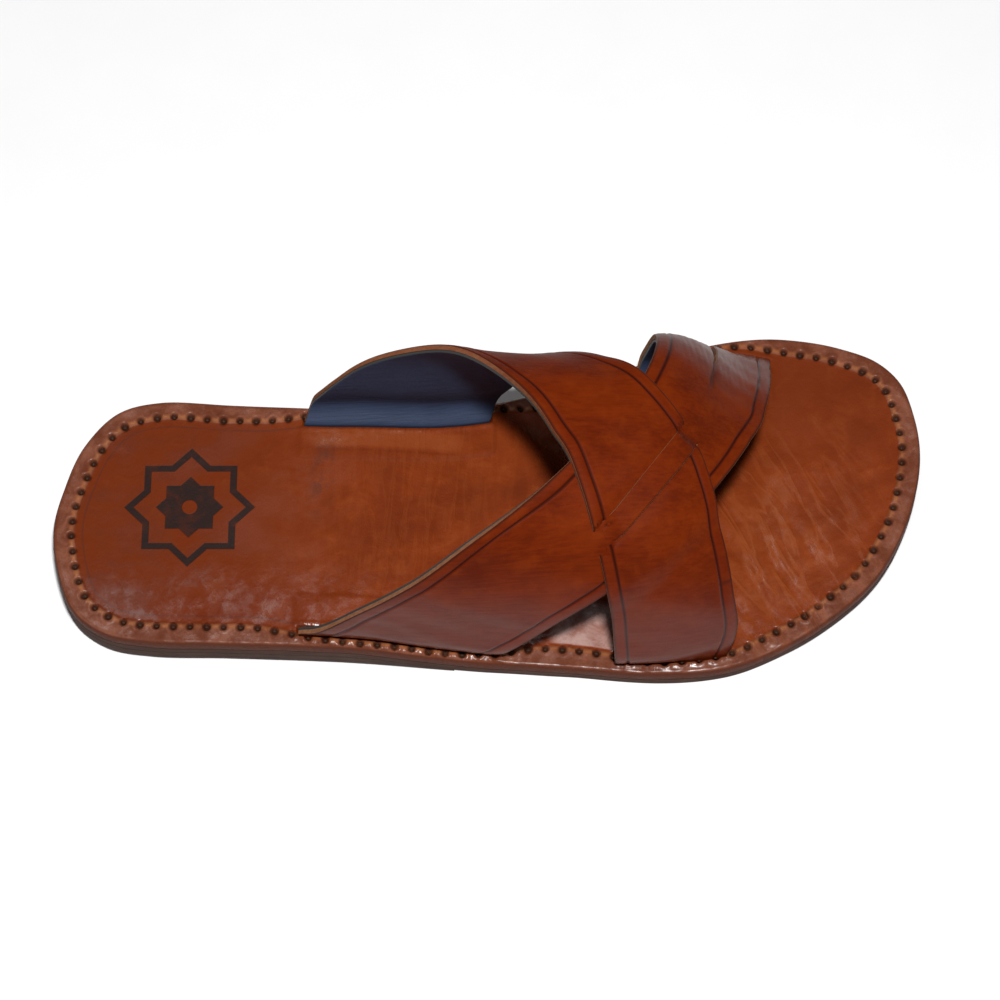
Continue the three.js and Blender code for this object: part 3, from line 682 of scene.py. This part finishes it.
def creaseRelief(x, y):
    # soft troughs: each is a bell across its line with a low ridge beside it, and fades out at its ends
    total = 0 * x
    for cx, cy, angle, half, wide, depth in creases:
        cos, sin = np.cos(np.radians(angle)), np.sin(np.radians(angle))
        along = (x - cx) * cos + (y - cy) * sin
        across = (y - cy) * cos - (x - cx) * sin + 1.1 * ripple(along * 0.3, cx)
        section = bell(across / wide) - 0.45 * bell((across - 2 * wide) / wide)
        total = total - depth * section * bell(along / half)
    return total


def slotRelief(x, y):
    # each strap's slot with its puckered lips, and the mark of the tail below; also returns the tail's mark
    relief, mark = 0 * x, 0 * x
    for little, rear, front in (
        (True, underRear(0), underFront(0)), (True, overRear(0), overFront(0)),
        (False, underRear(180), underFront(180)), (False, overRear(180), overFront(180)),
    ):
        slope = (slotLine(x + probe, little) - slotLine(x - probe, little)) / (2 * probe)
        depth = (y - slotLine(x, little)) * (1 if little else -1) / np.hypot(1, slope)
        start, end = placeX(rear), placeX(front)
        inside = smooth((x - start + 0.8) / 0.8) * smooth((end + 0.8 - x) / 0.8)
        wide = smooth((x - start + 3) / 3) * smooth((end + 3 - x) / 3)
        thick = size["strapThickness"]
        groove = smooth((depth + thick + 0.55) / 0.5) * smooth((0.5 - depth) / 0.5)
        lips = bell((depth - 1.3) / 0.8) + 0.8 * bell((depth + thick + 1.3) / 0.7)
        tail = smooth((size["tailLength"] + 0.8 - depth) / 2.2) * smooth(depth / 2)
        relief = relief - footbed["slotDepth"] * groove * inside
        relief = relief + footbed["pucker"] * lips * wide * (1 - groove) * (1 + 0.7 * ripple(x * 0.9, 2))
        relief = relief + footbed["tailMark"] * tail * wide
        mark = np.maximum(mark, tail * wide)
    return relief, mark


def stitchPath(ring, inward):
    # the stitch row's inset at each ring point, its length so far, and the places of the holes
    along = ring[:, 0] / size["soleLength"] + 0.5
    tipAt = int(np.argmax(ring[:, 0]))
    little = np.arange(len(ring)) <= tipAt
    inset = np.where(little, column(stitchTable, 1)(along), column(stitchTable, 2)(along))
    path = ring + inward * inset[:, None]
    gaps = np.linalg.norm(np.roll(path, -1, axis=0) - path, axis=1)
    reach = np.append(0, np.cumsum(gaps))
    count = int(round(reach[-1] / footbed["stitchPitch"]))
    number = np.arange(count)
    holes = (number + 0.5 + 0.06 * np.sin(number * 12.9)) * reach[-1] / count
    return inset, path, reach, holes


def makeFootbed():
    # rings of a rounded edge section moved in from the outline, with holes, pillows, slots and creases as
    # relief on the top, then cross lines over the inside and the underside
    ring, inward = soleRing(footbed["halfRing"])
    count = len(ring)
    inset, path, reach, holes = stitchPath(ring, inward)
    depths = np.arange(rimSection[-1][0] + footbed["rimCell"], footbed["rimReach"], footbed["rimCell"])
    section = np.vstack([rimSection, np.stack([depths, 1 + 0 * depths], axis=1)])
    wave = 0.1 * ripple(reach[:-1] * 0.05, 1) * (section[:, :1] < 3)
    flat = ring[None] + inward[None] * (section[:, 0][:, None, None] + wave[..., None])
    x, y = flat[..., 0], flat[..., 1]
    z = insoleBottom(x) + section[:, 1][:, None] * (insoleTop(x) - insoleBottom(x))
    # holes, the pillows between them and a bead on their outer side
    nearest = np.abs(reach[:-1, None] - holes[None]).argmin(axis=1)
    da = (reach[:-1] - holes[nearest])[None]
    db = section[:, :1] - inset[None] - 0.12 * np.sin(nearest * 7.7)[None]
    radius = np.hypot(da, db * 0.95) / (footbed["holeSize"] * (1 + 0.1 * np.sin(nearest * 3.3)))[None]
    onTop = section[:, 1:] >= 1
    hole = smooth((1.3 - radius) / 0.75)
    between = np.clip(da / footbed["stitchPitch"], -0.5, 0.5)
    pillow = bell(db) * (0.5 - 0.5 * np.cos(2 * np.pi * between))
    bead = bell((radius - 1.7) / 0.45) * smooth(-db / 0.9)
    inner = smooth((db - 0.6) / 1.2)
    relief = footbed["pillow"] * (pillow + 0.9 * bead) - footbed["holeDepth"] * hole - footbed["sunk"] * inner
    slots, mark = slotRelief(x, y)
    uneven = 0.1 * ripple(reach[:-1] * 0.35, 4)[None] * bell((db + 2.6) / 2)
    relief = relief + slots + creaseRelief(x, y) + uneven
    z = z + relief * onTop
    points = [np.stack([x, y, z], axis=-1).reshape(-1, 3)]
    ids = np.arange(len(section) * count).reshape(len(section), count)
    faces = [wrapFaces(ids)]
    values = {
        "row": [db.ravel()], "hole": [(smooth(hole * 1.2) * onTop).ravel()], "tail": [(mark * onTop).ravel()],
        "bridgeGlint": [(pillow * bell(db / 0.9) * (1 - hole) * onTop).ravel()],
        "edge": [np.repeat((section[:, 1] < 0.93) * 1.0, count)],
    }
    first = ids.size
    # the inside of the top, from every second ring point, and the underside, from every twentieth
    for ringRow, step, cells, top in ((ids[-1], 2, footbed["crossCells"], True), (ids[0], 20, 6, False)):
        coarseIds = first + np.arange(count // step)
        coarse = flat[-1 if top else 0][::step] + inward[::step] * footbed["rimCell"]
        first = first + len(coarse)
        lift = (insoleTop if top else insoleBottom)(coarse[:, 0])
        inside, fills = crossFill(coarseIds, coarse, cells, first)
        first = first + len(inside)
        both = np.vstack([coarse, inside])
        px, py = both[:, 0], both[:, 1]
        slots, mark = slotRelief(px, py)
        high = insoleTop(px) + slots + creaseRelief(px, py) - footbed["sunk"] if top else insoleBottom(px)
        points.append(np.stack([px, py, high], axis=-1))
        corners = [ringRow[(np.arange(0, count, step) + k) % count] for k in range(step + 1)]
        fan = np.stack(corners + [np.roll(coarseIds, -1), coarseIds], axis=1)
        faces += [fan if top else fan[:, ::-1]] + [f if top else f[:, ::-1] for f in fills]
        for key in ("hole", "bridgeGlint", "edge"):
            values[key].append(0 * px)
        values["row"].append(0 * px + footbed["farFromRow"])
        values["tail"].append(mark * top)
    values = {key: np.concatenate(numbers) for key, numbers in values.items()}
    addPiece("footbed", np.vstack(points), faces, values, looks["footbed"], ["insole"])
    makeThread(path, reach, holes)


def makeThread(path, reach, holes):
    # a small bead of thread in each hole: an ellipsoid laid along the row
    closed = np.vstack([path, path[:1]])
    at = np.stack([np.interp(holes, reach, closed[:, k]) for k in (0, 1)], axis=1)
    ahead = np.stack([np.interp((holes + 0.5) % reach[-1], reach, closed[:, k]) for k in (0, 1)], axis=1)
    way = (ahead - at) / np.linalg.norm(ahead - at, axis=1, keepdims=True)
    u = np.linspace(0, 2 * np.pi, 9)[:-1]
    v = np.linspace(0.12, np.pi - 0.12, 6)
    ball = np.stack([
        np.outer(np.sin(v), np.cos(u)) * footbed["beadLong"],
        np.outer(np.sin(v), np.sin(u)) * footbed["beadWide"],
        np.outer(np.cos(v), 1 + 0 * u) * footbed["beadHigh"],
    ], axis=-1).reshape(-1, 3)
    centre = np.column_stack([at, insoleTop(at[:, 0]) - footbed["beadSunk"]])
    side = np.stack([-way[:, 1], way[:, 0]], axis=1)
    flat = ball[None, :, 0, None] * way[:, None] + ball[None, :, 1, None] * side[:, None]
    points = np.concatenate([flat, np.broadcast_to(ball[None, :, 2:], flat[..., :1].shape)], axis=-1)
    points = (points + centre[:, None]).reshape(-1, 3)
    ids = np.arange(len(points)).reshape(-1, len(v), len(u))
    faces = [np.concatenate([wrapFaces(one[::-1]) for one in ids]), ids[:, 0], ids[:, -1, ::-1]]
    addPiece("stitch_thread", points, faces, {}, looks["thread"], [])


def makeOutsole():
    # rings of its edge section, closed with cross lines below and above
    ring, inward = soleRing(outsole["halfRing"])
    count = len(ring)
    reach = np.append(0, np.cumsum(np.linalg.norm(np.diff(ring, axis=0), axis=1)))
    section = np.array(outsoleSection)
    wave = outsole["wave"] * ripple(reach * 0.06, 5)
    flat = ring[None] + inward[None] * (section[:, 0][:, None] + wave[None])[..., None]
    x = flat[..., 0]
    z = outsoleBottom(x) + section[:, 1][:, None] * (outsoleTop(x) - outsoleBottom(x))
    points = [np.dstack([flat, z]).reshape(-1, 3)]
    ids = np.arange(z.size).reshape(z.shape)
    faces = [wrapFaces(ids)]
    first = ids.size
    for level, height in ((0, outsoleBottom), (-1, outsoleTop)):
        inside, fills = crossFill(ids[level], flat[level], outsole["crossCells"], first)
        points.append(np.column_stack([inside, height(inside[:, 0])]))
        first = first + len(inside)
        faces += [f if level else f[:, ::-1] for f in fills]
    points = np.vstack(points)
    edge = np.arange(len(points)) < ids.size
    values = {"edge": edge * 1.0}
    addPiece("outsole_layer", points, faces, values, looks["outsole"], ["outsole"])


def makeLift():
    # its ring is the outline up to the lift's front line, and its faces are rings about the middle
    ring = soleRing(heelLift["halfRing"])[0]
    keep = ring[:, 0] < liftEnd - heelLift["frontGap"]
    start = int(np.argmin(keep))
    shape = np.roll(ring[keep], -start, axis=0)
    line = np.linspace(0, 1, heelLift["frontSteps"])[1:-1, None]
    shape = np.vstack([shape, shape[-1] + (shape[0] - shape[-1]) * line])
    shape, inward = closeRing(shape)
    middle = np.array([liftEnd - size["heelLiftLength"] / 2, shape[:, 1].mean()])
    rings = len(liftRings)
    stack = [middle + (shape + inward - middle) * share for share in liftRings]
    stack += [shape + inward * inset for inset, rise in liftSection]
    stack += [middle + (shape - middle) * share for share in liftRings[::-1]]
    rise = np.array([0] * rings + [rise for inset, rise in liftSection] + [1] * rings)[:, None]
    flat = np.array(stack)
    thick = np.maximum(ramp(flat[..., 0]) - heelLift["belowTop"], size["heelLiftFeather"] / 2)
    points = np.dstack([flat, rise * thick]).reshape(-1, 3)
    ids = np.arange(len(points)).reshape(len(stack), len(shape))
    faces = [wrapFaces(ids), ids[:1, ::-1], ids[-1:]]
    edge = np.repeat(np.array([0] * rings + [1] * len(liftSection) + [0] * rings), len(shape)) * 1.0
    addPiece("heel_lift_layer", points, faces, {"edge": edge}, looks["lift"], ["heel_lift"])


makeFootbed()
makeOutsole()
makeLift()
print("sole ready")

# Straps
straps = {
    "rows": 250, "crowding": 0.5, "liningThickness": 0.95, "grooveDepth": 0.3, "sinkInSlot": 1.4,
    "dartFrom": 140, "slitFrom": 60.25, "slitTo": 91, "keeperRows": 96, "landing": 4.5, "noMargin": 9,
    "grooveAt": 4, "grooveWide": 0.45, "overColumns": 66, "rearColumns": 34, "frontColumns": 22,
    "slitColumns": 9, "tuck": 0.35, "nickTurn": 34.5, "nickReach": 5.2,
}
edgeSteps = np.array([
    0, 0.14, 0.34, 0.7, 1.3, 2.1, 2.9, 3.3, 3.55, 3.72, 3.88, 4.0, 4.12, 4.28, 4.45, 4.7, 5.1, 5.8, 7,
])
# turn, middle of the cut as a share across the under strap, and its half width: the slits, then the dart
cutTable = [
    (0, 0.64, 3.4), (50, 0.64, 3.4), (56, 0.635, 3.4), (63, 0.625, 3.4), (75, 0.6, 3.4), (91, 0.585, 3.4),
    (98, 0.57, 3.2), (106, 0.545, 2.2), (115, 0.522, 0.8), (124, 0.495, 0.2), (140, 0.486, 0.12),
    (150, 0.494, 0.45), (165, 0.507, 0.95), (180, 0.512, 1.3),
]
# turn, degrees that a row gains from the middle of the keeper to its edges
skewTable = [(0, 0), (40, 0), (60, 3.5), (75, 3.2), (89, 3), (108, 0), (180, 0)]
keeperHalf = size["keeperWidth"] / 2
crossLift = size["strapThickness"] - size["pressIn"]
keeperRise = crossLift + size["strapThickness"] - size["keeperDip"] - size["pressIn"]


def strapX(turn, share, rear, front):
    # x of a share of the way from the rear edge to the front edge
    return placeX(rear(turn) + share * (front(turn) - rear(turn)))


def acrossRate(turn, share, rear, front):
    # millimetres across the strap, square to its run, for each whole share of its width
    point = lastPoint(strapX(turn, share, rear, front), turn)
    wide = lastPoint(strapX(turn, share + 0.01, rear, front), turn) - point
    run = unit(lastPoint(strapX(turn + 0.5, share, rear, front), turn + 0.5) - point)
    square = wide - run * np.sum(wide * run, axis=-1, keepdims=True)
    return np.linalg.norm(square, axis=-1) / 0.01


def keeperBase(turn, across):
    # the keeper's rise over the under strap: up from one skewed slit end, level, and down to the other
    skewed = turn + column(skewTable, 1)(turn) * np.clip(across / keeperHalf, -1, 1)
    up = smooth((skewed - straps["slitFrom"]) / straps["landing"])
    return keeperRise * up * smooth((straps["slitTo"] - skewed) / straps["landing"])


def overLift(x, turn):
    # up on the under strap, down again beyond its edges, with a soft trough below the keeper,
    # and tucked in where the keeper's ends come down
    rear, front = placeX(underRear(turn)), placeX(underFront(turn))
    share = (x - rear) / (front - rear)
    beyond = np.maximum(0, np.maximum(-share, share - 1)) * (front - rear)
    rate = acrossRate(np.clip(turn, 1, 178), keeperCentre(turn), underRear, underFront)
    across = (share - keeperCentre(turn)) * rate
    trough = smooth(1 - np.abs(across) / (keeperHalf * size["troughSpread"]))
    lift = crossLift * smooth(1 - beyond / size["crossFade"]) - size["keeperDip"] * trough * keeperLift(turn)
    nearKeeper = smooth((turn - 50) / 5) * smooth((100 - turn) / 4) * smooth((3.7 - np.abs(across)) / 0.7)
    return lift - nearKeeper * np.maximum(0, lift - keeperBase(turn, across) + straps["tuck"])


def fillColumns(before, after, count):
    # even columns from the last one before to the first one after, without those two
    share = np.linspace(0, 1, count)[1:-1]
    return before[:, -1:] + (after[:, :1] - before[:, -1:]) * share


def makeStrap(name, rear, front, lift, cuts, look):
    # a leather sheet and its lining: rows round the last, columns across at set distances from the edges
    even = np.linspace(0, 1, straps["rows"] + 1)
    turns = 180 * (even - straps["crowding"] * np.sin(2 * np.pi * even) / (2 * np.pi))
    if cuts:
        turns = np.sort(np.append(turns, [straps["slitFrom"], straps["slitTo"], straps["dartFrom"]]))
    safe = np.clip(turns, 1, 178)
    rateRear, rateFront = (acrossRate(safe, s, rear, front)[:, None] for s in (0.02, 0.97))
    low, high = edgeSteps / rateRear, 1 - edgeSteps[::-1] / rateFront
    blocks = [low]
    if cuts:
        centre, half = column(cutTable, 1)(turns)[:, None], column(cutTable, 2)(turns)[:, None]
        rate = acrossRate(safe, centre[:, 0], rear, front)[:, None]
        near = np.array([-1.4, -0.6, -0.15, 0])
        left, right = centre - half / rate + near / rate, centre + half / rate - near[::-1] / rate
        blocks += [fillColumns(low, left, straps["rearColumns"]), left]
        blocks += [fillColumns(left, right, straps["slitColumns"]), right]
        blocks += [fillColumns(right, high, straps["frontColumns"]), high]
    else:
        blocks += [fillColumns(low, high, straps["overColumns"]), high]
    shares = np.hstack(blocks)
    grid = turns[:, None] + 0 * shares
    if cuts:
        skew = column(skewTable, 1)(turns)[:, None]
        grid = grid - skew * np.clip((shares - centre) * rate / keeperHalf, -1, 1)
    x = strapX(grid, shares, rear, front)
    fromRear, fromFront = shares * rateRear, (1 - shares) * rateFront
    border = np.minimum(fromRear, fromFront)
    kept = np.ones((len(turns) - 1, shares.shape[1] - 1), bool)
    cut = 1 - smooth(border / 0.12)
    shade = 0 * border
    # a pressed groove beside each edge, a swell on both sides of it, and a rounded rim
    relief = -straps["grooveDepth"] * bell((border - straps["grooveAt"]) / straps["grooveWide"])
    relief = relief - 0.35 * smooth(1 - border / 0.5) ** 2
    relief = relief + 0.1 * bell((border - 4.9) / 0.6) + 0.12 * bell((border - 2.2) / 1.1)
    # slow unevenness of the hide
    relief = relief + 0.18 * ripple(grid * 0.09 + x * 0.05, 3) * smooth(border / 6)
    if cuts:
        first = low.shape[1] + straps["rearColumns"] - 2 + left.shape[1] - 1
        last = first + straps["slitColumns"]  # one fine column past the slit's front side
        middle = (turns[1:] + turns[:-1]) / 2
        gone = (middle > straps["slitFrom"]) & (middle < straps["slitTo"]) | (middle > straps["dartFrom"])
        kept[gone, first:last] = False
        inSlit = (turns > straps["slitFrom"] + 0.01) & (turns < straps["slitTo"] - 0.01)
        isCut = inSlit | (turns > straps["dartFrom"])
        cut[:, [first, last]] = np.maximum(cut[:, [first, last]], isCut[:, None])
        # a crease runs on from the dart, and the flap in front of it stands a little proud
        dart = smooth((turns - 112) / 10)[:, None] * (1 + 0 * shares)
        fromCut = np.maximum(0, np.abs(shares - centre) * rate - half)
        flap = smooth((shares - centre) * rate / 1.2) * smooth(1 - (shares - centre) * rate / 11)
        proud = 0.55 * smooth((turns - 120) / 14)[:, None]
        relief = relief - 0.45 * dart * bell(fromCut / 0.45) + proud * flap
        # painted shade along the crease from the dart
        shade = np.maximum(shade, dart * bell(fromCut / 0.6) * 0.8)
        # fine folds where the strap's end bends down into its slot
        folds = smooth((turns - 118) / 22)[:, None] * smooth((180 - turns) / 10)[:, None]
        relief = relief + 0.13 * folds * ripple(x * 0.62 + grid * 0.04, 6)
    else:
        # a short dark nick across the front margin
        nick = bell((grid - straps["nickTurn"]) / 0.55) * smooth((straps["nickReach"] - fromFront) / 1.5)
        shade = np.maximum(shade, 0.9 * nick)
    base = lift(x, grid) if lift else 0 * x
    values = {"border": border, "cut": cut, "shade": shade, "turn": grid}
    below, rounded = 0.12 * smooth(1 - border / 0.3), -0.15 * smooth(1 - border / 0.4)
    addSheets(name, x, grid, base, kept, values, look, relief, below, rounded, True)


def addSheets(name, x, grid, base, kept, values, look, relief, below, liningRelief, inSlots):
    # the leather and the lining below it, each the last's surface moved out along its normal to both of its
    # faces; a strap's sheets have straight rows at their ends, down into the slots
    lining = straps["liningThickness"]
    sheets = {
        "leather": (base + (lining + 0.02), base + size["strapThickness"] + relief, look, "strap_leather"),
        "lining": (base + below, base + lining + liningRelief, looks["lining"], "strap_lining"),
    }
    down = straps["sinkInSlot"] * np.array([[[0, 0, -1]], [[0, 0, -0.5]]])[: 2 * inSlots]
    pad = [(len(down), len(down)), (0, 0)]
    kept = np.pad(kept, pad, mode="edge")
    values = {key: np.tile(np.pad(numbers, pad, mode="edge").ravel(), 2) for key, numbers in values.items()}
    for part, (inside, outside, material, slot) in sheets.items():
        both = [offsetPoint(x, grid, offset) for offset in (outside, inside)]
        both = [np.concatenate([face[:1] + down, face, face[-1:] + down[::-1]]) for face in both]
        ids = np.arange(both[0][..., 0].size).reshape(both[0].shape[:2])
        faces = [shellFaces(kept, ids, ids + ids.size)]
        replaced = ["upper"] if inSlots and part == "leather" else []
        points = np.concatenate(both).reshape(-1, 3)
        addPiece(f"{name}_{part}", points, faces, values, material, replaced)


def makeKeeper():
    # the strip between the slits, lifted over the over strap: the under strap's rows and shares there
    turns = np.linspace(straps["slitFrom"], straps["slitTo"], straps["keeperRows"] + 1)
    centre, half = column(cutTable, 1)(turns)[:, None], column(cutTable, 2)(turns)[:, None]
    rate = acrossRate(turns, centre[:, 0], underRear, underFront)[:, None]
    steps = np.array([0, 0.12, 0.3, 0.55, 0.85])
    columns = [steps - keeperHalf, np.linspace(-2.2, 2.2, 15), keeperHalf - steps[::-1]]
    across = np.concatenate(columns)[None] * half / keeperHalf
    shares = centre + across / rate
    grid = turns[:, None] - column(skewTable, 1)(turns)[:, None] * across / half
    x = strapX(grid, shares, underRear, underFront)
    base = keeperBase(grid, across)
    border = half - np.abs(across)
    holes = ((63.5, -1.6), (89, -0.5))
    pricks = sum(bell(np.hypot(grid - turn, across - place) / 0.55) for turn, place in holes)
    relief = -0.25 * smooth(1 - border / 0.45) ** 2 - 0.8 * pricks + 0.05 * ripple(grid * 0.4, 2)
    relief = relief * smooth((base + 0.1) / 0.6)
    kept = np.ones((len(turns) - 1, shares.shape[1] - 1), bool)
    # painted shadow along the keeper's edge on its side where across is above 0, and painted shade in its
    # prick holes
    edgeShadow = 0.8 * bell(border / 0.3) * (across > 0) * smooth(base / 0.4)
    values = {
        "border": border + straps["noMargin"], "cut": (1 - smooth(border / 0.1)) * smooth(base / 0.4),
        "shade": np.minimum(1, pricks * 1.3 + edgeShadow), "turn": grid,
    }
    addSheets("keeper", x, grid, base, kept, values, looks["under"], relief, 0.1, 0, False)


makeStrap("under_strap", underRear, underFront, None, True, looks["under"])
makeStrap("over_strap", overRear, overFront, overLift, False, looks["over"])
makeKeeper()
print("straps ready")
